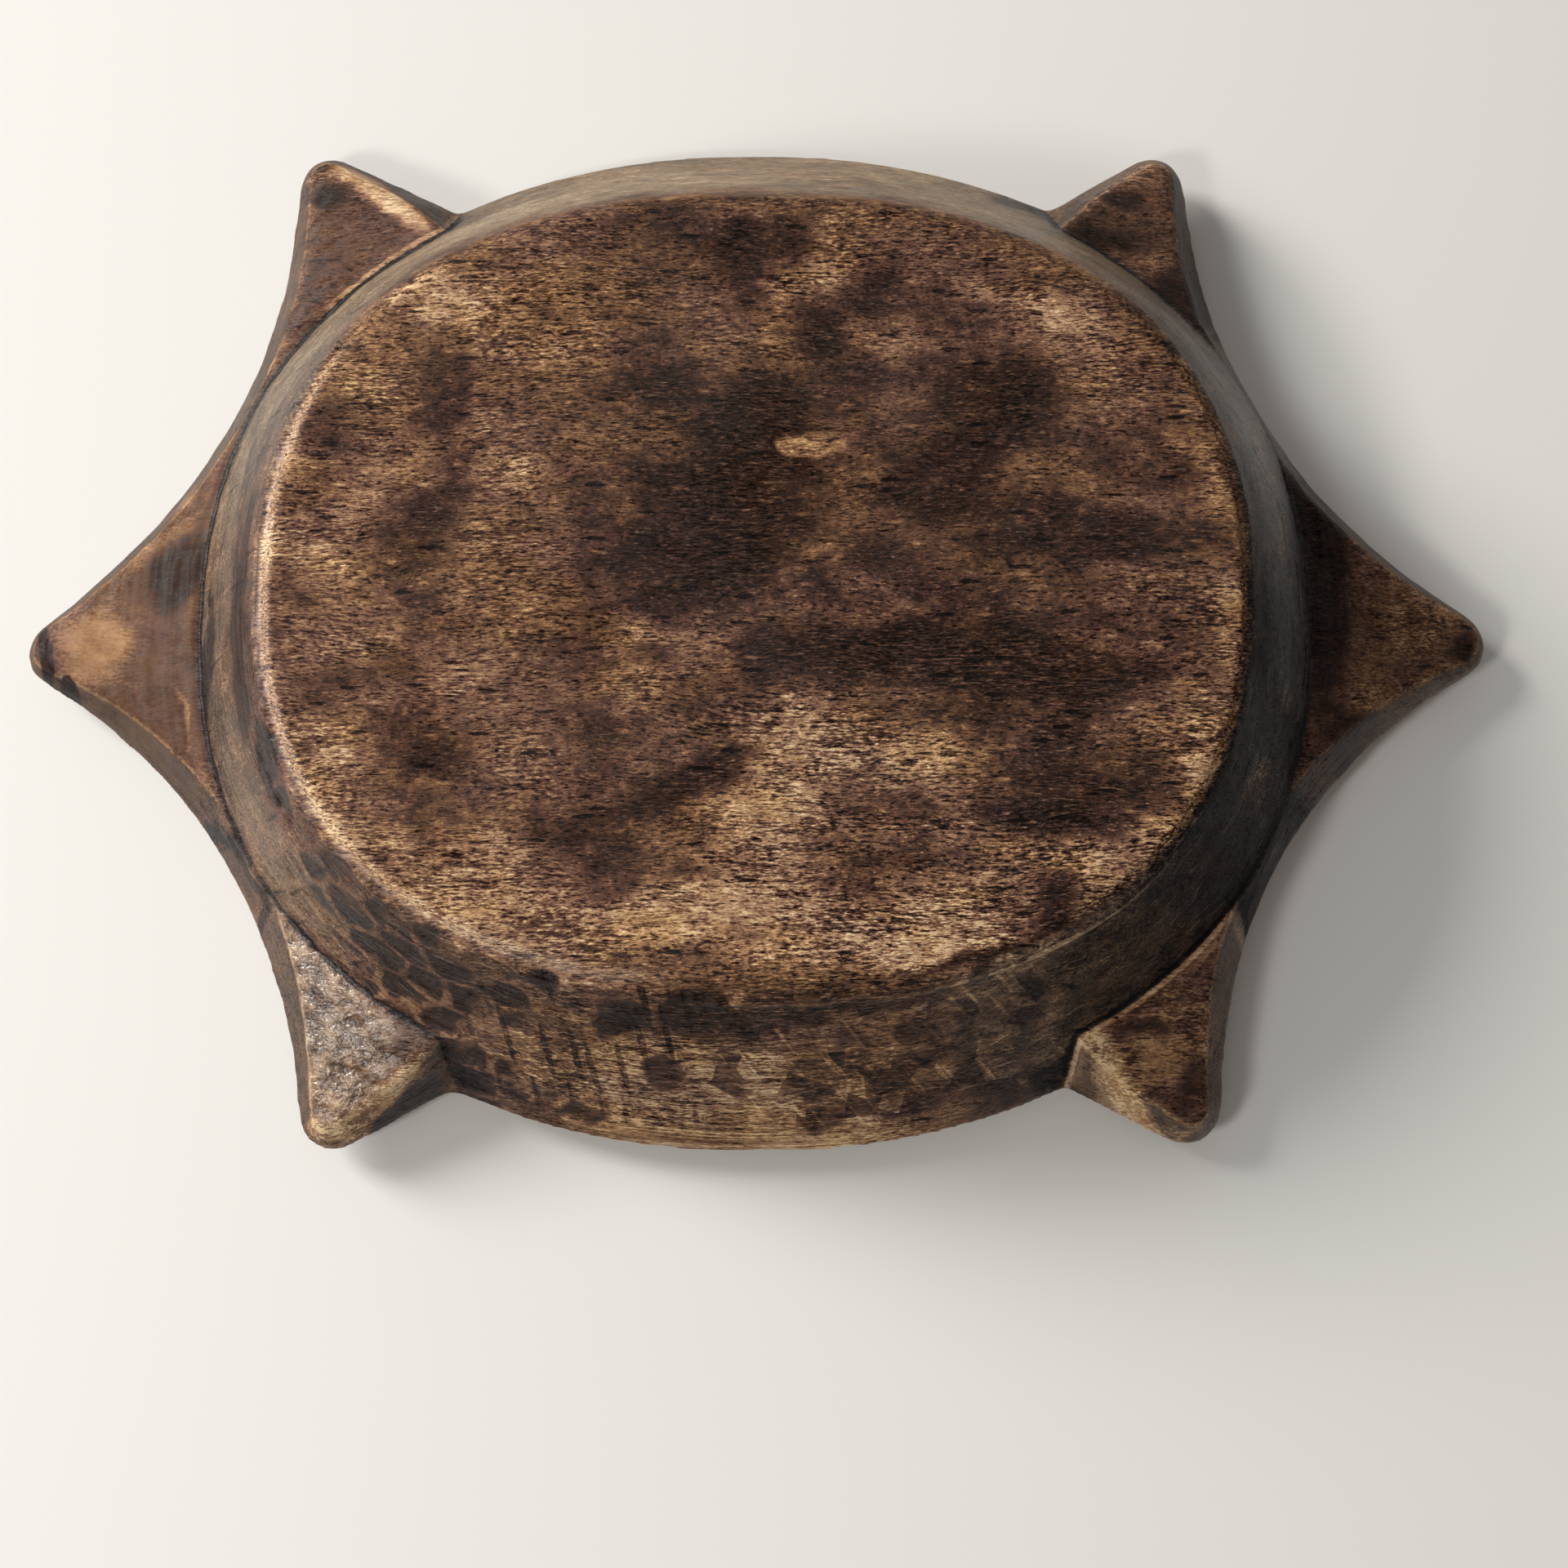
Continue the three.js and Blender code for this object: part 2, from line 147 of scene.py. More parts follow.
# On the wall, the rows at (-131, -105), (-107, -128) and (-147, -75) darken the side towards -X and -Y that
# is away from the light, and the rows at (148, -51) and (141, -67) darken the strip just outside the base's
# beaded edge: painted shade. The other rows are stains.
WALL_STAINS_AND_PAINTED_SHADE = (
    (75, -127, 6, 7, 0, 0.9), (63, -120, 7, 3, 10, 0.8), (39, -130, 9, 6, 0, 0.95), (16, -129, 12, 7, 0, 1.0),
    (-3, -128, 6, 4, 0, 0.9), (-17, -126, 15, 5, 0, 0.9), (-39, -125, 14, 5, 0, 0.9),
    (-53, -123, 8, 3, -8, 0.8), (119, -102, 9, 8, -40, 0.8), (105, -110, 11, 7, -20, 0.9),
    (112, -119, 9, 6, -20, 0.8), (94, -122, 11, 9, 5, 0.9), (129, -89, 9, 9, -50, 0.5),
    (85, -145, 11, 8, 0, 0.7), (98, -137, 8, 5, -20, 0.5), (62, -154, 7, 5, 0, 0.4), (51, -156, 7, 6, 0, 0.5),
    (26, -147, 7, 4, 0, 0.5), (8, -146, 8, 6, 0, 0.55), (-18, -145, 10, 7, 0, 0.5), (-53, -135, 8, 4, 0, 0.5),
    (-64, -142, 8, 5, 0, 0.45), (-47, -150, 15, 9, 0, 0.5), (-21, -160, 6, 5, 0, 0.45),
    (-75, -126, 15, 6, 0, 0.45), (-77, -149, 15, 9, 0, 0.4), (-131, -105, 18, 20, 0, 0.2),
    (-107, -128, 15, 15, 0, 0.2), (-147, -75, 13, 23, 0, 0.3), (175, -17, 3, 26, 0, 0.6),
    (154, 15, 2, 18, 0, 0.6), (157, -20, 3, 30, 0, 0.5), (160, 30, 3, 30, 0, 0.4),
    (148, -51, 3, 11, -20, 0.9), (141, -67, 2, 6, -30, 0.8),
)
# The last three rows, on the wall towards -X, make a pale streaky band that is a painted sheen; the others
# are worn places.
WALL_WORN_AND_PAINTED_SHEEN = (
    (52, -149, 17, 10, 0, 0.55), (19, -149, 27, 13, 0, 0.6), (-4, -152, 15, 13, 0, 0.5),
    (-31, -150, 8, 5, 0, 0.5), (-25, -163, 33, 6, -4, 0.6), (36, -166, 23, 5, 6, 0.4),
    (-166, 38, 4, 26, -9, 0.75), (-168, -20, 3, 16, 4, 0.35), (-157, -60, 5, 12, 25, 0.4),
)
LUG_DARK = (
    (143, 149, 7, 5, 0, 0.9), (144, 125, 11, 14, 0, 0.35), (187, 17, 19, 10, 130, 0.65),
    (193, -14, 10, 13, 0, 0.3), (234, -9, 3, 9, 10, 1.3), (226, -19, 4, 3, 30, 1.2),
    (-124, 147, 7, 4, 0, 0.8), (-117, 131, 12, 5, 0, 0.75), (-141, 105, 12, 15, 0, 0.8),
    (-181, 14, 11, 43, 0, 1.0), (-231, -6, 4, 4, 0, 0.8), (-124, -133, 9, 3, 0, 0.7),
    (-141, -149, 5, 9, 0, 0.35), (-194, -37, 11, 11, 0, 0.5), (112, -159, 19, 5, -48, 1.0),
    (-135, -152, 7, 10, 40, 0.3), (-106, -158, 13, 8, 58, 0.55),
)
LUG_WORN = (
    (-136, -136, 16, 18, 0, 0.5), (-117, -151, 21, 5, 58, 1.2), (126, 147, 13, 3, 35, 0.9),
    (149, 122, 4, 9, 0, 0.5), (145, 158, 8, 2, 0, 0.7), (216, -7, 14, 14, 0, 1.0), (195, 25, 22, 4, -44, 0.7),
    (188, 45, 8, 5, -45, 0.6), (183, -31, 2, 12, -8, 0.8), (200, -20, 3, 3, 0, 0.6),
    (111, -152, 15, 4, -50, 0.9), (133, -165, 10, 4, 0, 0.8), (-128, -140, 12, 8, 50, 0.45),
    (-133, -166, 8, 4, 0, 0.6), (-123, 152, 19, 6, -30, 0.4), (-133, 123, 9, 7, 0, 0.5),
    (-215, 1, 14, 12, 0, 0.5), (-196, -26, 7, 5, 0, 0.5), (-109, 157, 11, 4, -33, 0.4),
)

# Bare wood along an edge of three lugs
LUG_BARE = (
    (-117, -151, 21, 4.2, 58, 1.0), (133, 155, 13, 4.6, 35, 0.9), (120, 143, 14, 4.2, 41, 1.0),
    (116, -151, 19, 3.8, -44, 0.9), (134, -163, 12, 4.5, 0, 0.8),
)

# A shallow oval chip in the base
CHIP = (-17, 43, 11.5, 4.2, 0, 1.0)

# The lug whose underside has kept a glossy finish, where its colour is also painted lighter and greyer, with
# painted glints
GLOSSY_LUG_WITH_PAINTED_GLINTS = (136, -127, 22, 36, -15, 1.0)

# Deep short gouges under the edge of the base
GOUGES = (
    (150.5, -46, 1.6, 2.6, -20, 0.9), (149, -52, 1.6, 3.2, -20, 1.0), (146.5, -58, 1.6, 2.8, -24, 0.9),
    (143, -65, 1.4, 3.2, -28, 0.9), (140, -71, 1.4, 2.4, -30, 0.7),
)

# Outside of the wall by its bearing in degrees: lightness, roughness and sheen. The lightness is partly
# painted light: lighter towards +Y, where the window light falls, standing in for the sheen there, and
# near-black towards -X, the side in shade.
WALL_LOOKS_AND_PAINTED_LIGHT = (
    (-180, 0.08, 0.48, 0.34), (-150, 0.09, 0.70, 0.05), (-128, 0.32, 0.76, 0.05), (-112, 0.455, 0.76, 0.12),
    (-76, 0.42, 0.74, 0.16), (-60, 0.38, 0.62, 0.22), (-42, 0.35, 0.52, 0.29), (-12, 0.34, 0.46, 0.30),
    (20, 0.40, 0.44, 0.22), (60, 0.555, 0.50, 0.08), (105, 0.555, 0.50, 0.08), (138, 0.52, 0.42, 0.22),
    (160, 0.30, 0.38, 0.40), (180, 0.08, 0.48, 0.34),
)


# Shapes that the dish is laid out on

def oval_radius(bearing, length, width, squareness):
    lengthwise = np.abs(np.cos(bearing) / (length / 2)) ** squareness
    crosswise = np.abs(np.sin(bearing) / (width / 2)) ** squareness
    return (lengthwise + crosswise) ** (-1 / squareness)


def base_radius(bearing):
    return oval_radius(bearing, BASE_LENGTH, BASE_WIDTH, BASE_SQUARENESS)


def wall_radius(bearing, z):
    foot = oval_radius(bearing, BASE_LENGTH + 2 * FOOT_LEDGE, BASE_WIDTH + 2 * FOOT_LEDGE, BASE_SQUARENESS)
    rim = oval_radius(bearing, RIM_LENGTH, RIM_WIDTH, RIM_SQUARENESS)
    rise = (z - FOOT_HEIGHT) / (HEIGHT - FOOT_HEIGHT)
    return foot + (rim - foot) * rise


def smoothstep(low, high, value):
    t = np.clip((value - low) / (high - low), 0, 1)
    return t * t * (3 - 2 * t)


# Seeded noise on arrays of points

def lattice(ix, iy, iz, seed):
    mask = 0xFFFFFFFF
    mixed = (ix * 374761393 + iy * 668265263 + iz * 1442695041 + seed * 1274126177) & mask
    mixed = ((mixed ^ (mixed >> 13)) * 1274126177) & mask
    return ((mixed ^ (mixed >> 16)) & 0xFFFF) / 32767.5 - 1


def value_noise(points, seed):
    cell = np.floor(points).astype(np.int64)
    part = points - cell
    part = part * part * (3 - 2 * part)
    total = np.zeros(len(points))
    for dx in (0, 1):
        for dy in (0, 1):
            for dz in (0, 1):
                weight = (
                    (part[:, 0] if dx else 1 - part[:, 0])
                    * (part[:, 1] if dy else 1 - part[:, 1])
                    * (part[:, 2] if dz else 1 - part[:, 2])
                )
                total += weight * lattice(cell[:, 0] + dx, cell[:, 1] + dy, cell[:, 2] + dz, seed)
    return total


def fractal(points, wavelength, octaves, seed):
    scaled = points / np.asarray(wavelength, float)
    total = np.zeros(len(points))
    for octave in range(octaves):
        total += value_noise(scaled * 2 ** octave + 17.3 * octave, seed + octave) / 2 ** octave
    return total


def scallops(along, across, length, width, seed):
    """Tool marks as shallow cells: 0 in the middle of a cell and 1 on the ridge between two cells."""
    u, v = along / length, across / width
    row = np.floor(v)
    nearest = np.full(len(u), 9.0)
    second = np.full(len(u), 9.0)
    zero = np.zeros(len(u), np.int64)
    for dv in (-1, 0, 1):
        here = row + dv
        shifted = u + 0.5 * (here % 2)
        column = np.floor(shifted)
        for du in (-1, 0, 1):
            cu = (column + du).astype(np.int64)
            cv = here.astype(np.int64)
            centre_u = cu + 0.5 + 0.28 * lattice(cu, cv, zero, seed)
            centre_v = cv + 0.5 + 0.28 * lattice(cu, cv, zero + 1, seed)
            distance = np.hypot(shifted - centre_u, v - centre_v)
            closer = distance < nearest
            second = np.where(closer, nearest, np.minimum(second, distance))
            nearest = np.where(closer, distance, nearest)
    return 1 - smoothstep(0, 0.5, second - nearest)


def patches(x, y, rows, full=0.45, gone=1.5):
    """Sum of soft ellipses, each full within one share of its half sizes and gone beyond another."""
    total = np.zeros(len(x))
    for centre_x, centre_y, half_length, half_width, degrees, strength in rows:
        turn = math.radians(degrees)
        along = (x - centre_x) * math.cos(turn) + (y - centre_y) * math.sin(turn)
        across = (y - centre_y) * math.cos(turn) - (x - centre_x) * math.sin(turn)
        reach = np.hypot(along / half_length, across / half_width)
        total += strength * (1 - smoothstep(full, gone, reach))
    return total


# Mesh helpers

def link(obj):
    bpy.context.scene.collection.objects.link(obj)
    return obj


def applied(obj):
    """The object's mesh with its modifiers applied."""
    graph = bpy.context.evaluated_depsgraph_get()
    return bpy.data.meshes.new_from_object(obj.evaluated_get(graph))


def read_points(mesh):
    flat = np.empty(len(mesh.vertices) * 3)
    mesh.vertices.foreach_get("co", flat)
    return flat.reshape(-1, 3) / MM


def write_points(mesh, points):
    mesh.vertices.foreach_set("co", (points * MM).ravel())
    mesh.update()


def read_normals(mesh):
    flat = np.empty(len(mesh.vertices) * 3)
    mesh.vertices.foreach_get("normal", flat)
    return flat.reshape(-1, 3)


def read_edges(mesh):
    flat = np.empty(len(mesh.edges) * 2, np.int64)
    mesh.edges.foreach_get("vertices", flat)
    return flat.reshape(-1, 2)


def relaxed(values, edges, rounds, share=0.5):
    """Each point's values drawn towards the mean of its neighbours."""
    count = len(values)
    degree = np.bincount(edges.ravel(), minlength=count)[:, None]
    current = values.copy()
    for _ in range(rounds):
        total = np.empty_like(current)
        for column in range(current.shape[1]):
            one = current[:, column]
            total[:, column] = np.bincount(edges[:, 0], one[edges[:, 1]], count)
            total[:, column] += np.bincount(edges[:, 1], one[edges[:, 0]], count)
        current += share * (total / degree - current)
    return current


# Where each point of the surface lies

class Places:
    """Position of each point against the forms of the dish, and soft masks of its surfaces."""

    def __init__(self, points, normals):
        self.x, self.y, self.z = points.T
        self.bearing = np.arctan2(self.y, self.x)
        self.degrees = np.degrees(self.bearing)
        self.radius = np.hypot(self.x, self.y)
        self.off_wall = self.radius - wall_radius(self.bearing, self.z)
        self.off_base = self.radius - base_radius(self.bearing)
        self.down = -normals[:, 2]
        near_base = 1 - smoothstep(1.4, 3.2, self.z)
        self.base = near_base * (1 - smoothstep(0.9, 2.3, self.off_base))
        self.inside = smoothstep(-3.5, -5.5, self.off_wall) * smoothstep(8, 12, self.z)
        self.top = smoothstep(0.6, 0.9, -self.down) * smoothstep(-6, -4, self.off_wall)
        self.lug = smoothstep(0.5, 1.6, self.off_wall) * smoothstep(0.5, 0.72, self.down)
        steep = 1 - smoothstep(0.6, 0.85, np.abs(self.down))
        self.side = smoothstep(0.8, 2.5, self.off_wall) * steep
        others = np.maximum.reduce([self.base, self.inside, self.lug, self.top, self.side])
        self.wall = 1 - others

    def wall_looks_and_painted_light(self):
        bearings, *columns = zip(*WALL_LOOKS_AND_PAINTED_LIGHT)
        return [np.interp(self.degrees, bearings, column) for column in columns]

    def stretch(self, *stretches):
        """Share of the stretches, each given by the bearings where it starts, is full, ends and is gone."""
        total = np.zeros(len(self.degrees))
        for start, full, end, gone in stretches:
            total += smoothstep(start, full, self.degrees) * (1 - smoothstep(end, gone, self.degrees))
        return total


# The carved surface

def bent(points, bends, seed):
    """Plan coordinates shifted by noise in several sizes, so that a patch has a crumbling edge."""
    x, y = points[:, 0].copy(), points[:, 1].copy()
    for amount, wavelength in bends:
        x += amount * value_noise(points / wavelength, seed)
        y += amount * value_noise(points / wavelength, seed + 7)
        seed += 20
    return x, y


class Marks:
    """Relief that the hand work and the wear add to the smooth surface, and the masks of their marks."""

    def __init__(self, smooth, places, sunken):
        self.rolled_side = places.stretch(ROLLED_EDGE)
        self.offset = np.zeros(len(smooth))
        for height, wavelength, seed in UNEVENNESS:
            self.offset += height * fractal(smooth, wavelength, 2, seed)
        self.cut_walls(smooth, places)
        self.cut_lugs(smooth, places, sunken)
        self.offset -= EDGE_GOUGE_DEPTH * places.wall * np.clip(patches(places.x, places.y, GOUGES), 0, 1)
        self.offset *= 1 - 0.75 * smoothstep(62, 70, places.z) * places.wall
        self.wear_base(smooth, places)

    def cut_walls(self, smooth, places):
        """Adze scallops and slanting cuts outside, gouge marks inside, and the ledge of the foot."""
        wander = 4.0 * fractal(smooth, 30, 2, 51)
        arc = places.bearing * MEAN_RADIUS + wander
        slope = places.z * SLOPE_PER_HEIGHT + 0.6 * wander
        self.cells = scallops(arc, slope, 19, 13, 5)
        self.scalloped = places.stretch(SCALLOPED)
        depth = FAINT_SCALLOP_DEPTH + SCALLOP_DEPTH * self.scalloped
        self.offset += places.wall * depth * (self.cells - 0.5)

        run_across = places.x * SLANT_X + places.z * SLANT_Z
        run_along = places.z * SLANT_X - places.x * SLANT_Z
        cuts = value_noise(np.column_stack([run_across / 3.8, run_along / 17, places.z * 0]), 61)
        below_rim = 1 - smoothstep(54, 66, places.z)
        grooved = places.wall * places.stretch(GROOVED)
        self.offset -= GROOVE_DEPTH * grooved * smoothstep(0.1, 0.6, cuts) * below_rim

        on_floor = 1 - smoothstep(FLOOR_THICKNESS + 4, FLOOR_THICKNESS + 16, places.z)
        wall_gouges = scallops(arc, slope, 34, 15, 71)
        floor_gouges = scallops(places.x + wander, places.y + wander, 42, 17, 83)
        self.gouges = wall_gouges + (floor_gouges - wall_gouges) * on_floor
        self.offset += places.inside * HOLLOW_GOUGE_DEPTH * (self.gouges - 0.5)

        self.ledged = places.stretch(LEDGED)
        self.offset += LEDGE_HEIGHT * self.ledged * places.wall * (1 - smoothstep(6.0, 8.0, places.z))

    def cut_lugs(self, smooth, places, sunken):
        """A cut line where each lug leaves the wall, the lip beside it, and dents, deeper where glossy."""
        self.cut_line = smoothstep(0.12, 0.7, sunken) * (1 - places.inside) * smoothstep(20, 30, places.z)
        self.offset -= CUT_LINE_DEPTH * self.cut_line
        lip = smoothstep(1.5, 3.0, places.off_wall) * (1 - smoothstep(3.8, 6.0, places.off_wall))
        lip *= smoothstep(0.4, 0.7, places.down) * (1 - self.cut_line)
        lip *= smoothstep(-0.5, 0.3, fractal(smooth, 18, 2, 131))
        self.lip = lip
        self.offset += LIP_HEIGHT * lip
        self.gloss_with_painted_highlight = places.lug * np.clip(patches(places.x, places.y, [GLOSSY_LUG_WITH_PAINTED_GLINTS], 0.7, 1.3), 0, 1)
        self.offset += (places.lug + places.side) * LUG_DENT_DEPTH * fractal(smooth, 6, 2, 91)
        self.offset += self.gloss_with_painted_highlight * GLOSSY_DENT_DEPTH * fractal(smooth, 8, 3, 97)

    def wear_base(self, smooth, places):
        """Dents in the base, its chip and its rolled edge. The base stays within its resting plane."""
        self.bent = bent(smooth, ((3.2, 17), (1.8, 7)), 101)
        self.ragged = bent(smooth, ((1.0, 5),), 141)
        self.chip = smoothstep(0.3, 0.7, patches(*self.ragged, [CHIP])) * places.base
        rolled = smoothstep(-5.5, 0.5, places.off_base) * (0.2 + 0.8 * self.rolled_side)
        pitted = np.abs(fractal(smooth, 4.2, 2, 151)) * smoothstep(-7, -2, places.off_base)
        pitted = pitted * (1 - 0.8 * self.rolled_side)
        dents = BASE_DENT_DEPTH * np.abs(fractal(smooth, (34, 15, 15), 3, 111)) + CHIP_DEPTH * self.chip
        dents = dents + ROLLED_DEPTH * rolled ** 2 + PIT_DEPTH * pitted
        held = np.minimum(self.offset, 0) * 0.4
        self.offset = np.where(places.z < 3, held, self.offset) - places.base * dents


def looks(smooth, places, marks, rise):
    """The values by point that the material reads, by name. The rise is over the point's surroundings."""
    base, wall, lug, side = places.base, places.wall, places.lug, places.side
    inside, outer_top = places.inside, places.top * (1 - places.inside)
    edge = smoothstep(0.12, 0.75, rise)
    # Painted shade: darker where a point lies below its surroundings, as in hollows and corners
    painted_crease_shade = smoothstep(0.10, 0.65, -rise)
    lugs = np.maximum(lug, side)
    gloss_with_painted_highlight = marks.gloss_with_painted_highlight
    bared_lugs = lugs * np.clip(patches(*marks.ragged, LUG_BARE, 0.75, 1.2), 0, 1)
    polish = 0.3 + 0.6 * places.stretch(POLISHED_LUG) + 0.15 * places.stretch(SATIN_LUG)
    polish = lugs * polish + 0.2 * gloss_with_painted_highlight
    bead = smoothstep(-3.6, -1.8, places.off_base) * (1 - smoothstep(0.4, 1.6, places.off_base))
    bead *= (1 - smoothstep(1.5, 3.0, places.z)) * places.stretch(BEADED_EDGE)

    # Stains and worn places, with some painted shade and painted sheen on the wall
    dark = base * patches(*marks.bent, BASE_DARK, 0.5, 1.4) * (1 - marks.chip)
    between_cells = marks.scalloped * smoothstep(0.50, 0.95, marks.cells)
    uneven = 1 + 0.45 * fractal(smooth, 13, 2, 121) * marks.scalloped
    dark += wall * patches(*marks.bent, WALL_STAINS_AND_PAINTED_SHADE, 0.75, 1.25) * uneven * (1 - 0.8 * between_cells)
    dark += lugs * patches(*marks.bent, LUG_DARK) * (1 - bared_lugs)
    worn = base * patches(*marks.bent, BASE_WORN)
    worn += wall * patches(*marks.bent, WALL_WORN_AND_PAINTED_SHEEN) + lugs * patches(*marks.bent, LUG_WORN)
    worn += 0.7 * wall * smoothstep(50, 68, places.z) * places.stretch(WORN_RIM)

    # Lightness
    # The wall's lightness by bearing is partly painted light and shade
    wall_tone_and_painted_light, wall_rough, wall_sheen = places.wall_looks_and_painted_light()
    # A lighter band along the middle of the wall at that end, and the rest of that end a little darker: a
    # painted sheen
    painted_sheen_band = places.stretch(SHEEN_BAND_END) * smoothstep(14, 30, places.z)
    painted_sheen_band = painted_sheen_band * (1 - smoothstep(40, 58, places.z))
    foot_stain = smoothstep(18, 3, places.z + 9 * fractal(smooth, 12, 2, 171))
    by_base = wall * foot_stain * places.stretch(STAINED_FOOT)
    tone = 0.40 * base + 0.33 * lug + 0.31 * side + 0.38 * inside
    # The glossy lug's colour is painted lighter: a painted highlight
    tone += 0.05 * side * places.stretch(PALE_SIDE_FACE) + 0.14 * gloss_with_painted_highlight
    tone += 0.36 * outer_top
    tone += base * 0.03 * smoothstep(60, 110, places.x)
    tone += base * 0.04 * smoothstep(20, -60, places.x) * smoothstep(0, -60, places.y)
    tone += wall * (wall_tone_and_painted_light + 0.12 * painted_sheen_band - 0.05 * places.stretch(SHEEN_BAND_END)) - 0.10 * by_base

    # Roughness and sheen
    rough = 0.72 * base + 0.52 * lug + 0.48 * side + 0.50 * inside
    rough += 0.46 * outer_top
    rough += wall * wall_rough - 0.34 * gloss_with_painted_highlight
    rough -= 0.16 * edge * lug + 0.36 * bead
    middle = smoothstep(12, 32, places.z) * (1 - 0.8 * smoothstep(40, 58, places.z))
    wall_sheen = wall_sheen * (1 + (1 - places.stretch(OUTSIDE_SHADED_END)) * (2.0 * middle - 0.6))
    sheen = 0.2 * (1 - wall) + wall * wall_sheen + 0.8 * gloss_with_painted_highlight + 0.5 * bead
    sheen -= 0.1 * polish + 0.1 * base * (1 - bead)
    sheen += 0.25 * lug * np.clip(patches(places.x, places.y, [GLOSSY_LUG_WITH_PAINTED_GLINTS], 1.0, 3.0), 0, 1) * (1 - gloss_with_painted_highlight)
    sheen += 0.1 * np.maximum(inside, places.top)

    # Strength of the grain
    grain = np.clip(0.93 * base + 0.8 * lugs * (1 - polish) * (1 - 0.4 * side), 0, 1)
    grain += 0.3 * base * smoothstep(40, -40, places.x) * smoothstep(30, -60, places.y)
    grain += wall * (0.50 + 0.4 * places.stretch(FIBROUS_SIDE))
    grain += 0.36 * inside + 0.5 * outer_top - 0.4 * gloss_with_painted_highlight

    # Greyed wood, partly a painted sheen on the +Y side of the wall, towards -X, on the lugs' side faces and
    # on the glossy lug, then pale ridges and cuts
    dark_end = 0.7 * (1 - places.stretch(OUTSIDE_DARK_END))
    grey_and_painted_sheen = wall * (places.stretch(GREYED_AND_SHEEN_SIDE) + 0.7 * painted_sheen_band + dark_end)
    grey_and_painted_sheen = (grey_and_painted_sheen + 0.6 * gloss_with_painted_highlight + 0.5 * side) * (1 - bared_lugs) * (1 - 0.9 * by_base)
    ridge = 0.26 * wall * marks.scalloped * smoothstep(0.45, 0.95, marks.cells)
    ridge += 0.35 * inside * smoothstep(0.5, 1.0, marks.gouges)
    ridge += marks.lip * (0.4 + 0.8 * places.stretch(PALE_LIP))
    below_rim = wall * (1 - smoothstep(56, 66, places.z))
    under_lugs = (places.z > 18) & (places.down > -0.3)
    return {
        "tone": tone,
        "rough": rough,
        "grain": grain,
        "wall": wall,
        "edge": edge * (1 - bead) * (1 - 0.6 * polish),
        "bead": bead,
        "hollow": np.maximum(inside, places.top),
        "smooth": wall * np.maximum(smoothstep(60, 69, places.z), 0.7 * places.stretch(SMOOTH_SIDE)),
        "sheen": sheen,
        # Painted shade in hollows, stronger along the cut line where each lug leaves the wall
        "painted_crease_shade": painted_crease_shade + 2.4 * marks.cut_line,
        "dark": dark,
        "worn": worn,
        "bared": np.maximum(0.42 * marks.chip, bared_lugs),
        "from_wall": np.where(under_lugs, np.clip(places.off_wall, 0, 9), 0),
        "painted_joint_shade_share": (1 - places.stretch(*PLAIN_RIMS)) * (1 - 0.65 * polish),
        "lipped": places.stretch(*LIPPED_LUGS),
        "outlined": marks.ledged * wall,
        "polish": polish,
        "ridge": ridge,
        "slanted": below_rim * places.stretch(SLANT_CUT),
        "upright": below_rim * places.stretch(UPRIGHT_CUT),
        "grey_and_painted_sheen": grey_and_painted_sheen,
        "glossy_with_painted_glints": gloss_with_painted_highlight * (1 - bared_lugs),
    }


def carve(mesh):
    """Moves the smooth surface to the hand-carved, worn one and writes the values that the material reads."""
    edges = read_edges(mesh)
    smooth = relaxed(read_points(mesh), edges, 3)
    write_points(mesh, smooth)
    normals = read_normals(mesh)
    places = Places(smooth, normals)

    # Edges are worn round, more in some places than in others
    soft = relaxed(smooth, edges, 14)
    sunken = np.einsum("ij,ij->i", soft - smooth, normals)
    wear = smoothstep(-0.3, 0.9, fractal(smooth, 26, 3, 41))
    kept_sharp = (1 - smoothstep(4, 9, places.z)) * (1 - places.stretch(ROLLED_EDGE))
    rounding = (0.25 + 0.75 * wear) * (1 - 0.8 * kept_sharp) * (1 - smoothstep(0.0, 0.25, sunken))
    worn = smooth + (soft - smooth) * rounding[:, None]

    marks = Marks(smooth, places, sunken)
    points = worn + normals * marks.offset[:, None]
    write_points(mesh, points)

    # How far each point stands above its surroundings
    rise = np.einsum("ij,ij->i", points - relaxed(points, edges, 16), read_normals(mesh))
    for name, values in looks(smooth, places, marks, rise).items():
        layer = mesh.attributes.new(name, "FLOAT", "POINT")
        layer.data.foreach_set("value", values.astype(np.float32))


def dish_surface():
    source = link(bpy.data.objects.new("surface_source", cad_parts["dish"].data.copy()))
    remesh = source.modifiers.new("skin", "REMESH")
    remesh.mode = "VOXEL"
    remesh.voxel_size = VOXEL * MM
    mesh = applied(source)
    bpy.data.objects.remove(source)
    carve(mesh)
    return mesh


# Material

def srgb(*channels):
    """Linear colour of an 8-bit colour."""
    return tuple(((c / 255 + 0.055) / 1.055) ** 2.4 if c > 10 else c / 255 / 12.92 for c in channels) + (1,)


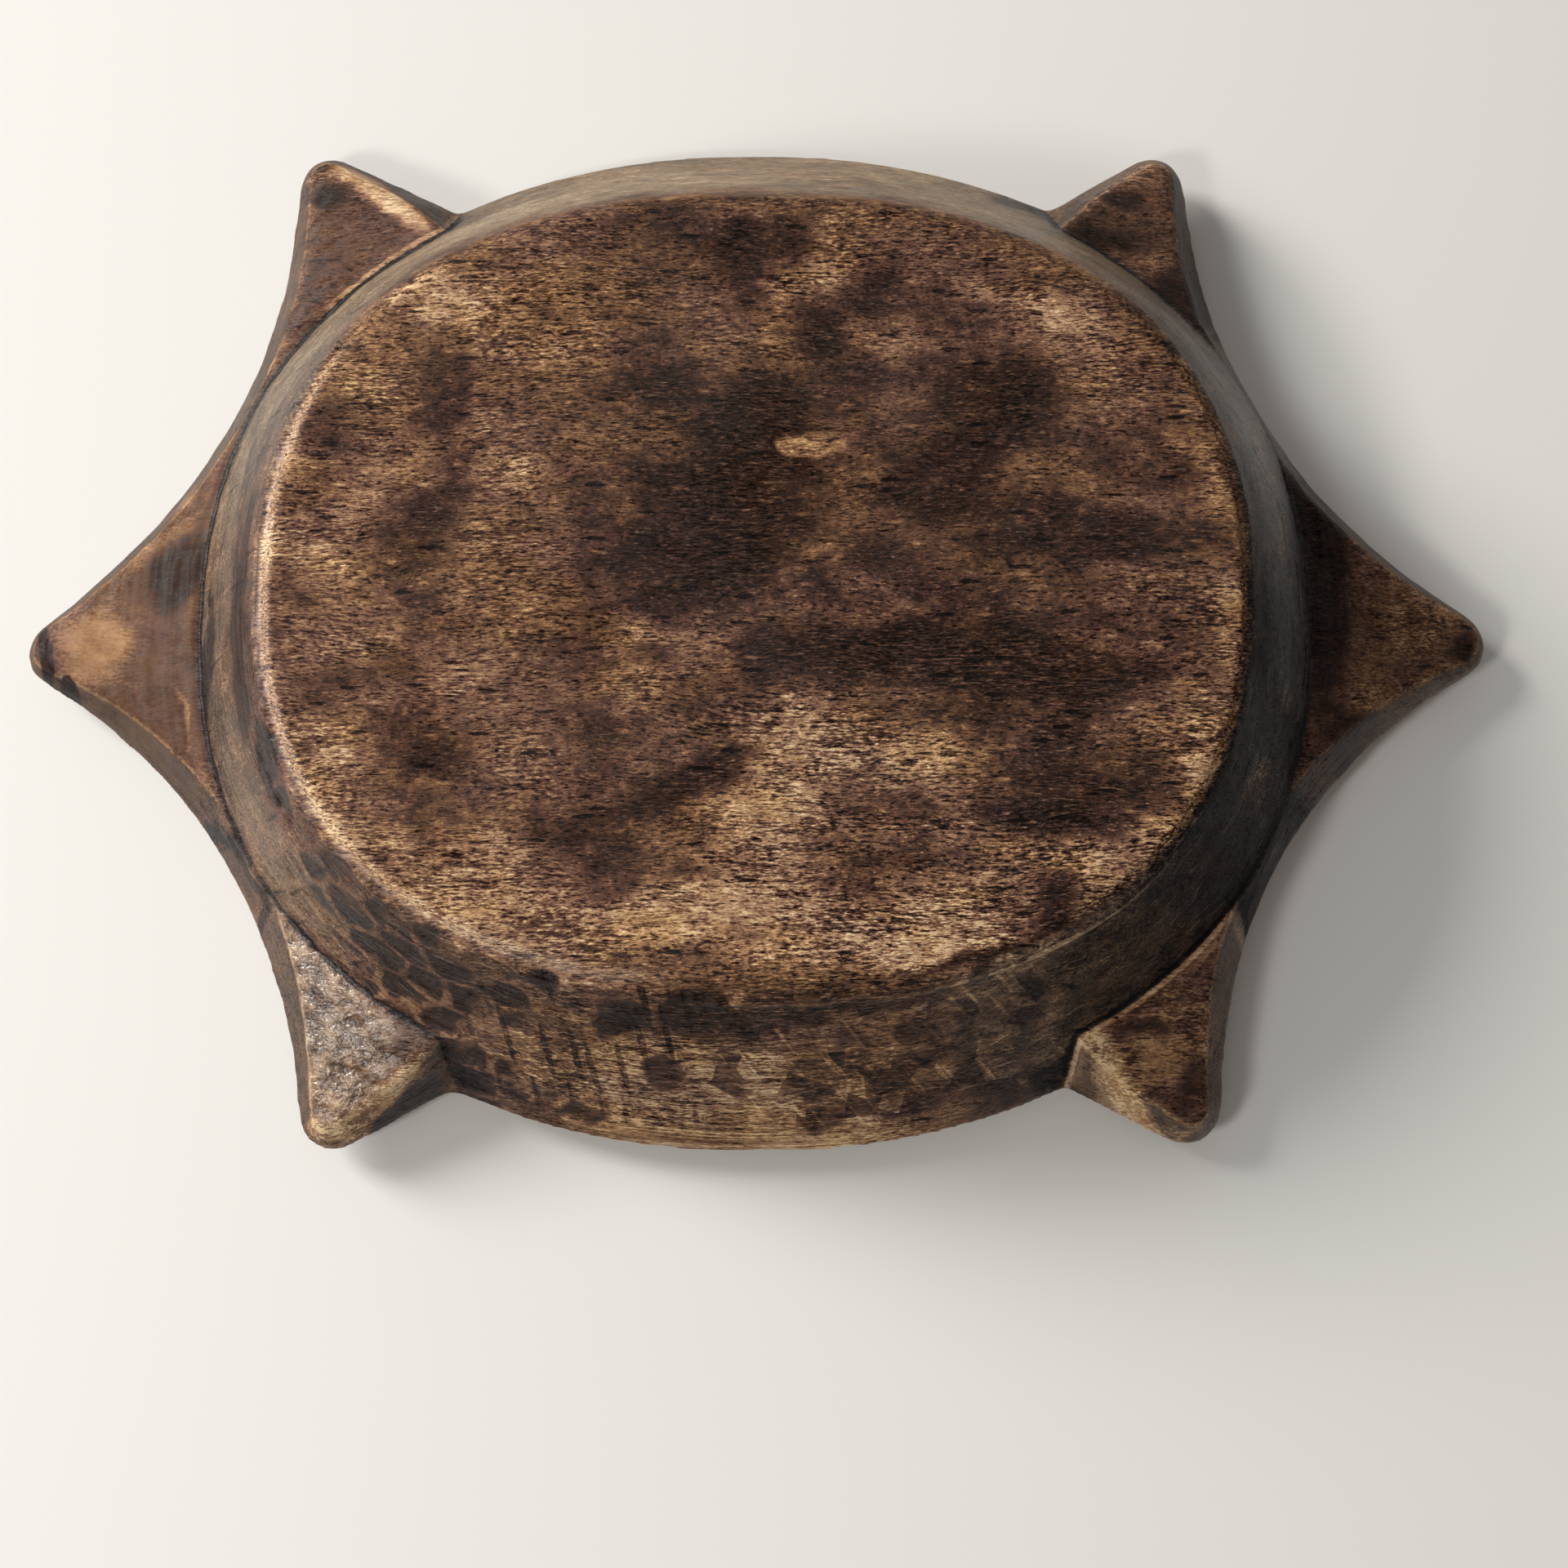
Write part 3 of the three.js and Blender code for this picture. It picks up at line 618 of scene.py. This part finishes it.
class Graph:
    """Short calls that add nodes to a material and join them."""

    def __init__(self, material):
        material.use_nodes = True
        self.tree = material.node_tree
        self.surface = self.tree.nodes["Principled BSDF"]

    def give(self, node, inputs):
        """Each input takes a link where its value is a socket, and else the value itself."""
        for key, value in inputs:
            if isinstance(value, bpy.types.NodeSocket):
                self.tree.links.new(value, node.inputs[key])
            else:
                node.inputs[key].default_value = value

    def add(self, kind, inputs=(), **settings):
        node = self.tree.nodes.new("ShaderNode" + kind)
        for key, value in settings.items():
            setattr(node, key, value)
        self.give(node, inputs)
        return node

    def math(self, operation, *values, clamp=False):
        node = self.add("Math", enumerate(values), operation=operation, use_clamp=clamp)
        return node.outputs[0]

    def product(self, *factors):
        result = factors[0]
        for factor in factors[1:]:
            result = self.math("MULTIPLY", result, factor)
        return result

    def total(self, *terms):
        """Sum of terms, each a number, a socket, or a tuple of both that is multiplied first."""
        result = None
        for term in terms:
            if isinstance(term, tuple):
                term = self.product(*term)
            result = term if result is None else self.math("ADD", result, term)
        return result

    def step(self, value, low, high, start=0.0, end=1.0):
        inputs = (("Value", value), ("From Min", low), ("From Max", high), ("To Min", start), ("To Max", end))
        return self.add("MapRange", inputs, interpolation_type="SMOOTHSTEP").outputs["Result"]

    def band(self, value, low, full, end, gone):
        """Smooth share that is full between two values and gone beyond two others."""
        return self.product(self.step(value, low, full), self.step(value, gone, end))

    def attribute(self, name):
        return self.add("Attribute", attribute_name=name).outputs["Fac"]

    def flat(self, x, y):
        return self.add("CombineXYZ", (("X", x), ("Y", y))).outputs[0]

    def scaled(self, place, stretch, shift):
        scale = tuple(1 / size for size in stretch)
        inputs = ((0, place), (1, scale), (2, shift))
        return self.add("VectorMath", inputs, operation="MULTIPLY_ADD").outputs[0]

    def noise(self, place, stretch, detail, roughness, shift):
        """Noise about 0.5 whose features have the given sizes in millimetres along X, Y and Z."""
        vector = self.scaled(place, stretch, (shift, shift, shift))
        inputs = (("Vector", vector), ("Scale", 1.0), ("Detail", detail), ("Roughness", roughness))
        return self.add("TexNoise", inputs).outputs["Fac"]

    def centred(self, place, stretch, detail, roughness, shift):
        return self.math("SUBTRACT", self.noise(place, stretch, detail, roughness, shift), 0.5)

    def cells(self, place, stretch, shift):
        """One random point in each cell of the given sizes: the nearest point's distance and colour."""
        vector = self.scaled(place, stretch, (shift, shift, 0.0))
        return self.add("TexVoronoi", (("Vector", vector), ("Scale", 1.0)), voronoi_dimensions="2D").outputs

    def ramp(self, value, stops):
        node = self.add("ValToRGB", (("Fac", value),))
        node.color_ramp.elements[0].position = stops[0][0]
        node.color_ramp.elements[0].color = srgb(*stops[0][1])
        node.color_ramp.elements[1].position = stops[-1][0]
        node.color_ramp.elements[1].color = srgb(*stops[-1][1])
        for position, colour in stops[1:-1]:
            node.color_ramp.elements.new(position).color = srgb(*colour)
        return node.outputs["Color"]

    def mix(self, share, first, second):
        node = self.add("Mix", data_type="RGBA")
        self.give(node, ((0, share), (6, first), (7, second)))
        return node.outputs[2]


# Colours of the wood from its darkest to its lightest, the grey ones also used for a painted sheen, and how
# much the stains and painted shade take off the lightness
BROWN = (
    (0.00, (16, 11, 9)), (0.20, (52, 35, 27)), (0.40, (93, 65, 47)), (0.58, (131, 96, 67)),
    (0.76, (170, 131, 91)), (1.00, (222, 188, 142)),
)
PLUM = (
    (0.00, (16, 11, 10)), (0.20, (53, 35, 30)), (0.40, (94, 65, 53)), (0.58, (134, 100, 77)),
    (0.76, (168, 133, 101)), (1.00, (214, 188, 152)),
)
ASHEN_AND_PAINTED_SHEEN = (
    (0.00, (26, 24, 24)), (0.20, (50, 46, 44)), (0.40, (93, 79, 65)), (0.60, (135, 115, 93)),
    (1.00, (202, 181, 150)),
)
STAIN_AND_SHADE_DEPTH = 0.70
LEAST_ROUGHNESS, MOST_ROUGHNESS = 0.16, 0.9
RELIEF_STRENGTH = 0.9


def carved_wood():
    material = bpy.data.materials.new("carved_wood")
    graph = Graph(material)
    product, total, step = graph.product, graph.total, graph.step
    scaled = graph.add("VectorMath", ((0, graph.add("TexCoord").outputs["Object"]),), operation="SCALE")
    scaled.inputs["Scale"].default_value = 1 / MM
    still = scaled.outputs[0]
    split = graph.add("SeparateXYZ", ((0, still),)).outputs
    x, y, z = split["X"], split["Y"], split["Z"]

    tone, rough, grain, wall = (graph.attribute(name) for name in ("tone", "rough", "grain", "wall"))
    edge, painted_crease_shade, dark, worn = (graph.attribute(name) for name in ("edge", "painted_crease_shade", "dark", "worn"))
    bared, ridge, bead, hollow = (graph.attribute(name) for name in ("bared", "ridge", "bead", "hollow"))
    smooth, grey_and_painted_sheen, glossy_with_painted_glints, polish = (graph.attribute(name) for name in ("smooth", "grey_and_painted_sheen", "glossy_with_painted_glints", "polish"))
    slanted, upright, outlined = (graph.attribute(name) for name in ("slanted", "upright", "outlined"))
    from_wall, lipped, painted_joint_shade_share = (graph.attribute(name) for name in ("from_wall", "lipped", "painted_joint_shade_share"))

    # The grain runs along X and wanders a little
    sway = product(graph.centred(still, (95, 30, 30), 1.0, 0.5, 61.1), 9.0)
    sway = graph.add("CombineXYZ", (("Y", sway), ("Z", sway)))
    place = graph.add("VectorMath", ((0, still), (1, sway.outputs[0])), operation="ADD").outputs[0]

    fibre = graph.centred(place, (6.5, 0.8, 0.8), 3.0, 0.68, 0.0)
    hair = graph.centred(place, (2.2, 0.6, 0.6), 2.0, 0.7, 3.1)
    band = graph.centred(place, (50, 3.2, 3.2), 3.0, 0.6, 17.3)
    mottle = graph.centred(still, (11, 7.5, 7.5), 7.0, 0.80, 5.7)
    cloud = graph.centred(still, (52, 38, 38), 4.0, 0.6, 9.3)
    streak = graph.centred(still, (40, 40, 0.9), 3.0, 0.6, 12.9)
    blot = graph.centred(still, (15, 15, 9), 6.0, 0.75, 91.7)
    patchy = graph.centred(still, (21, 15, 15), 2.0, 0.5, 27.7)
    ragged = graph.centred(still, (5.5, 4.0, 4.0), 3.0, 0.7, 39.3)
    pore = step(graph.noise(place, (2.8, 0.8, 0.8), 1.0, 0.5, 21.1), 0.58, 0.68)
    fleck = step(graph.noise(place, (2.6, 0.7, 0.7), 1.0, 0.5, 33.7), 0.62, 0.72)

    # Stains and worn places, with some painted shade and painted sheen on the wall, broken up by the grain
    torn = total((ragged, 1.5), (fibre, 2.0), (band, 1.2), (hair, 1.8))
    crumble = product(total(torn, (patchy, 1.0)), total((polish, -0.75), 1.0))
    stain_and_painted_shade = step(total(dark, crumble), 0.28, 0.74)
    bare_and_painted_sheen = step(total(worn, crumble), 0.25, 1.00)
    edge_wear = product(edge, step(total((mottle, 1.0), (fibre, 0.5)), -0.12, 0.14))

    # Cuts left by the blade across the lower side of the wall: slanted facets with thin pale lines between
    # them, and upright cuts under the edge of the base, darkened with painted shade
    across = total((x, SLANT_X), (z, SLANT_Z), (ragged, 1.2))
    along = total((z, SLANT_X), (x, -SLANT_Z), (ragged, 2.4))
    slant_place = graph.flat(across, along)
    facet = graph.cells(slant_place, (6.0, 11, 1), 71.3)["Color"]
    facet = graph.add("SeparateColor", ((0, facet),)).outputs["Red"]
    pale_cut = product(step(graph.cells(slant_place, (4.2, 48, 1), 33.1)["Distance"], 0.17, 0.10), slanted)
    upright_place = graph.flat(total((x, 0.99), (z, 0.12), (ragged, 0.9)), z)
    deep_cut_with_painted_shade = product(step(graph.cells(upright_place, (5.0, 60, 1), 81.9)["Distance"], 0.26, 0.15), upright)

    # Thin pale scratches run round the wall
    arc = product(graph.math("ARCTAN2", y, x), MEAN_RADIUS)
    around = graph.flat(arc, total(z, (patchy, 12.0)))
    scratch = product(step(graph.cells(around, (44, 3.0, 1), 13.7)["Distance"], 0.13, 0.06), wall)

    # Painted shade as a dark line where each lug meets the wall, a pale lip beside it, a pale line along part
    # of the base's edge, and the bared lugs' crumbling ends, darkened with painted shade in their pits
    wavering = total(from_wall, (ragged, 0.8))
    joint_groove_and_painted_shade = product(graph.band(wavering, 0.15, 0.5, 0.9, 1.4), painted_joint_shade_share)
    unbroken = step(total(mottle, ragged), -0.30, -0.08)
    lip = product(graph.band(wavering, 1.2, 1.6, 2.3, 3.0), lipped, unbroken)
    wavering = total(z, (ragged, 3.0), (patchy, 5.0), (hair, 2.0))
    outline = product(graph.band(wavering, 4.4, 5.2, 6.4, 7.3), outlined, unbroken)
    gnawed_with_painted_shade = product(step(total(ragged, (hair, 0.9), (mottle, 0.5)), 0.12, -0.04), bared, step(y, 40, 0))

    # Short cracks along the grain, darkened with painted shade, and small pale nicks
    crack_with_painted_shade = total(graph.cells(place, (46, 9, 9), 51.9)["Distance"], (hair, 0.08))
    crack_with_painted_shade = product(step(crack_with_painted_shade, 0.085, 0.045), grain)
    nick = total(graph.cells(place, (44, 11, 11), 67.7)["Distance"], (mottle, 0.20), (hair, 0.15))
    nick = product(step(nick, 0.07, 0.02), grain)

    # Stains and painted shade on the wall have sharper edges
    wall_stain_and_painted_shade = step(total(dark, (torn, 0.55), (total(facet, -0.5), slanted, 1.0)), 0.28, 0.58)
    stain_and_painted_shade = total(stain_and_painted_shade, (wall, total(wall_stain_and_painted_shade, (stain_and_painted_shade, -1.0))))

    # Lightness
    fine = total((fibre, 1.10), (hair, 1.35), (band, 0.5), (pore, -0.26), (fleck, 0.20))
    blotches = total((mottle, 0.80), (blot, wall, 0.8))
    plainer = total(1.0, (hollow, -0.7), (smooth, -0.6), (polish, -0.5))
    wall_streak = product(streak, wall)
    shade = total(
        tone,
        (fine, grain, total(1.0, (smooth, -0.5))),
        (blotches, plainer),
        (cloud, 0.40),
        (band, hollow, 0.8),
        (bare_and_painted_sheen, 0.27),
        (edge_wear, 0.30),
        (bead, 0.26),
        # painted shade in hollows and along the lugs' cut lines
        (painted_crease_shade, -0.09),
        (ridge, 0.22),
        (bared, 0.48),
        (gnawed_with_painted_shade, -0.32),
        (joint_groove_and_painted_shade, -0.30),
        (lip, 0.38),
        (outline, 0.32),
        # painted glints on the glossy lug
        (ragged, glossy_with_painted_glints, 1.2),
        (pale_cut, 0.20),
        (deep_cut_with_painted_shade, -0.24),
        (scratch, 0.20),
        (scratch, smooth, -0.40),
        (patchy, smooth, 0.22),
        (wall_streak, 0.18),
        # streaks in the wall's worn places and in the painted sheen towards -X
        (wall_streak, bare_and_painted_sheen, 1.2),
    )
    depth = total((slanted, 0.18), -STAIN_AND_SHADE_DEPTH)
    shade = product(shade, total((stain_and_painted_shade, depth), 1.0))
    specks = product(total((fleck, 0.14), (hair, 0.50), (fibre, 0.42)), grain)
    shade = total(shade, (specks, stain_and_painted_shade), (nick, 0.26), (crack_with_painted_shade, -0.26))

    # Colour
    hue = step(graph.noise(still, (40, 24, 24), 4.0, 0.65, 44.4), 0.42, 0.60)
    colour = graph.mix(hue, graph.ramp(shade, BROWN), graph.ramp(shade, PLUM))
    # Grey mixed into the colour: greyed wood and painted sheen
    ash_and_painted_sheen = step(total(patchy, (mottle, 0.4)), 0.16, -0.12, 0.7)
    ash_and_painted_sheen = graph.math("MULTIPLY", grey_and_painted_sheen, ash_and_painted_sheen, clamp=True)
    colour = graph.mix(ash_and_painted_sheen, colour, graph.ramp(shade, ASHEN_AND_PAINTED_SHEEN))

    # Roughness and sheen
    roughness = total(rough, (mottle, 0.45), (bare_and_painted_sheen, 0.06), (stain_and_painted_shade, -0.05))
    roughness = total(roughness, (wall_streak, 0.6), (ragged, glossy_with_painted_glints, 0.8), (scratch, 0.2))
    roughness = graph.math("MAXIMUM", graph.math("MINIMUM", roughness, MOST_ROUGHNESS), LEAST_ROUGHNESS)
    uneven = total(1.0, (streak, 4.0), (ragged, 2.4), (fibre, 1.8), (hair, 1.6), (scratch, 2.5))
    sheen = graph.math("MULTIPLY", graph.attribute("sheen"), uneven, clamp=True)

    # Fine relief in millimetres: fibres, pores, small pits and cuts
    pit = step(graph.noise(still, (2.0, 1.6, 1.6), 1.0, 0.5, 55.5), 0.56, 0.70)
    relief = total(
        (total((fibre, 0.42), (hair, 0.16), (pore, -0.14)), grain),
        (pit, edge, -0.35),
        (mottle, 0.30),
        (wall_streak, 0.14),
        (ragged, glossy_with_painted_glints, 1.6),
        (pale_cut, -0.12),
        (deep_cut_with_painted_shade, -0.25),
        (gnawed_with_painted_shade, -0.35),
        (crack_with_painted_shade, -0.25),
        (joint_groove_and_painted_shade, -0.25),
    )
    bump = graph.add("Bump", (("Height", relief), ("Distance", MM), ("Strength", RELIEF_STRENGTH)))
    graph.give(graph.surface, (
        ("Base Color", colour),
        ("Roughness", roughness),
        ("Specular IOR Level", sheen),
        ("Normal", bump.outputs["Normal"]),
    ))
    return material


# The visible dish

mesh = dish_surface()
mesh.materials.clear()
dish = link(bpy.data.objects.new("carved_dish", mesh))
triangles = sum(len(polygon.vertices) - 2 for polygon in mesh.polygons)
if triangles > MOST_TRIANGLES:
    thin = dish.modifiers.new("thin", "DECIMATE")
    thin.ratio = MOST_TRIANGLES / triangles
    dish.data = applied(dish)
    dish.modifiers.clear()
for polygon in dish.data.polygons:
    polygon.use_smooth = True
dish.data.materials.append(carved_wood())
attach(dish, "root")
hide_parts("dish")


# Studio: the camera looks up at the underside, through a floor that is only there when seen from above

CAMERA_PLACE = Vector((-9.5, -175.6, -670.2)) * MM
CAMERA_TILT = math.radians(9.6)
CAMERA_LENS = 52.5
SENSOR = 36.0

STAGE_COLOUR = (0.70, 0.69, 0.665, 1)
STAGE_ROUGHNESS, STAGE_SHEEN = 0.9, 0.15
STAGE_STEPS = 96
FLOOR_REACH = 9000.0
FLOOR_DROP = 0.2
BACKDROP_GAP = 10.0
BACKDROP_HOLE_INSET = 16.0
BACKDROP_REACH = 560.0

# Soft lights: name, place in metres, width, height, power and colour. The window light of the main view comes
# from its upper left, which is +X and +Y seen from below.
DAYLIGHT, WHITE = (1.0, 0.98, 0.95), (1, 1, 1)
LIGHTS = (
    ("window_light", (2.15, 1.20, -1.45), 0.9, 1.3, 104, DAYLIGHT),
    ("low_light", (0.70, -0.57, -0.98), 0.22, 0.22, 6, DAYLIGHT),
    ("top_light", (-0.7, -0.9, 1.5), 1.2, 1.2, 12, WHITE),
)

# The sky is brighter towards the window and from above, and one even tone where the camera sees it
SKY_TOWARDS = (0.80, 0.40, -0.45)
SKY_DIM, SKY_BRIGHT = 0.05, 0.48
SKY_ABOVE = 0.90
SKY_COLOUR = (1.0, 0.985, 0.96, 1)
SEEN_SKY = (0.78, 0.77, 0.745, 1)


def one_sided(name):
    """A matt pale surface that is only there on the side that its faces point to."""
    material = bpy.data.materials.new(name)
    material.use_nodes = True
    tree = material.node_tree
    surface = tree.nodes["Principled BSDF"]
    surface.inputs["Base Color"].default_value = STAGE_COLOUR
    surface.inputs["Roughness"].default_value = STAGE_ROUGHNESS
    surface.inputs["Specular IOR Level"].default_value = STAGE_SHEEN
    clear = tree.nodes.new("ShaderNodeBsdfTransparent")
    side = tree.nodes.new("ShaderNodeNewGeometry")
    mix = tree.nodes.new("ShaderNodeMixShader")
    tree.links.new(side.outputs["Backfacing"], mix.inputs["Fac"])
    tree.links.new(surface.outputs["BSDF"], mix.inputs[1])
    tree.links.new(clear.outputs["BSDF"], mix.inputs[2])
    tree.links.new(mix.outputs["Shader"], tree.nodes["Material Output"].inputs["Surface"])
    return material


def stage_sheet(name, corners, faces):
    sheet_mesh = bpy.data.meshes.new(name)
    sheet_mesh.from_pydata([Vector(corner) * MM for corner in corners], [], faces)
    sheet_mesh.materials.append(one_sided(name))
    sheet = link(bpy.data.objects.new(name, sheet_mesh))
    sheet.visible_shadow = False
    return sheet


def ring(radii, bearings, z):
    return [(radius * math.cos(b), radius * math.sin(b), z) for radius, b in zip(radii, bearings)]


def area_light(name, place, width, tall, power, colour):
    """Soft light turned towards the middle of the dish, with its height along Y."""
    light = bpy.data.lights.new(name, "AREA")
    light.shape = "RECTANGLE"
    light.size = width
    light.size_y = tall
    light.energy = power
    light.color = colour
    lamp = link(bpy.data.objects.new(name, light))
    lamp.location = place
    lamp.rotation_mode = "QUATERNION"
    lamp.rotation_quaternion = Vector(place).to_track_quat("Z", "Y")


def sky_share(nodes, low, high, start, end):
    share = nodes.new("ShaderNodeMapRange")
    share.interpolation_type = "SMOOTHSTEP"
    for key, value in (("From Min", low), ("From Max", high), ("To Min", start), ("To Max", end)):
        share.inputs[key].default_value = value
    return share


def studio_world():
    world = bpy.data.worlds.new("studio")
    world.use_nodes = True
    nodes, links = world.node_tree.nodes, world.node_tree.links
    direction = nodes.new("ShaderNodeTexCoord").outputs["Generated"]
    facing = nodes.new("ShaderNodeVectorMath")
    facing.operation = "DOT_PRODUCT"
    facing.inputs[1].default_value = SKY_TOWARDS
    towards = sky_share(nodes, -0.6, 1.0, SKY_DIM, SKY_BRIGHT)
    height = nodes.new("ShaderNodeSeparateXYZ")
    above = sky_share(nodes, 0.02, 0.6, 0.0, SKY_ABOVE)
    strength = nodes.new("ShaderNodeMath")
    lit = nodes["Background"]
    lit.inputs["Color"].default_value = SKY_COLOUR
    seen = nodes.new("ShaderNodeBackground")
    seen.inputs["Color"].default_value = SEEN_SKY
    ray = nodes.new("ShaderNodeLightPath")
    choice = nodes.new("ShaderNodeMixShader")
    links.new(direction, facing.inputs[0])
    links.new(facing.outputs["Value"], towards.inputs["Value"])
    links.new(direction, height.inputs[0])
    links.new(height.outputs["Z"], above.inputs["Value"])
    links.new(towards.outputs["Result"], strength.inputs[0])
    links.new(above.outputs["Result"], strength.inputs[1])
    links.new(strength.outputs[0], lit.inputs["Strength"])
    links.new(ray.outputs["Is Camera Ray"], choice.inputs["Fac"])
    links.new(lit.outputs["Background"], choice.inputs[1])
    links.new(seen.outputs["Background"], choice.inputs[2])
    links.new(choice.outputs["Shader"], nodes["World Output"].inputs["Surface"])
    return world


camera = link(bpy.data.objects.new("camera", bpy.data.cameras.new("camera")))
camera.data.lens = CAMERA_LENS
camera.data.sensor_width = SENSOR
up = Vector((0, math.cos(CAMERA_TILT), -math.sin(CAMERA_TILT)))
back = Vector((0, -math.sin(CAMERA_TILT), -math.cos(CAMERA_TILT)))
turn = Matrix((up.cross(back), up, back)).transposed()
camera.matrix_world = Matrix.Translation(CAMERA_PLACE) @ turn.to_4x4()
bpy.context.scene.camera = camera

bearings = np.linspace(0, 2 * math.pi, STAGE_STEPS, endpoint=False)
floor_corners = ring([FLOOR_REACH] * STAGE_STEPS, bearings, -FLOOR_DROP)
floor = stage_sheet("floor", floor_corners, [tuple(range(STAGE_STEPS))])
floor.visible_diffuse = False
floor.visible_glossy = False

# Pale sheet behind the dish in the main view, open over the mouth so that light still falls into the hollow
hole = oval_radius(bearings, RIM_LENGTH, RIM_WIDTH, RIM_SQUARENESS) - BACKDROP_HOLE_INSET
sheet_corners = ring(hole, bearings, HEIGHT + BACKDROP_GAP)
sheet_corners += ring([BACKDROP_REACH] * STAGE_STEPS, bearings, HEIGHT + BACKDROP_GAP)
sheet_faces = []
for here in range(STAGE_STEPS):
    beside = (here + 1) % STAGE_STEPS
    sheet_faces.append((here, beside, beside + STAGE_STEPS, here + STAGE_STEPS))
stage_sheet("backdrop", sheet_corners, sheet_faces)

for light in LIGHTS:
    area_light(*light)
bpy.context.scene.world = studio_world()
bpy.context.scene.view_settings.view_transform = "Standard"
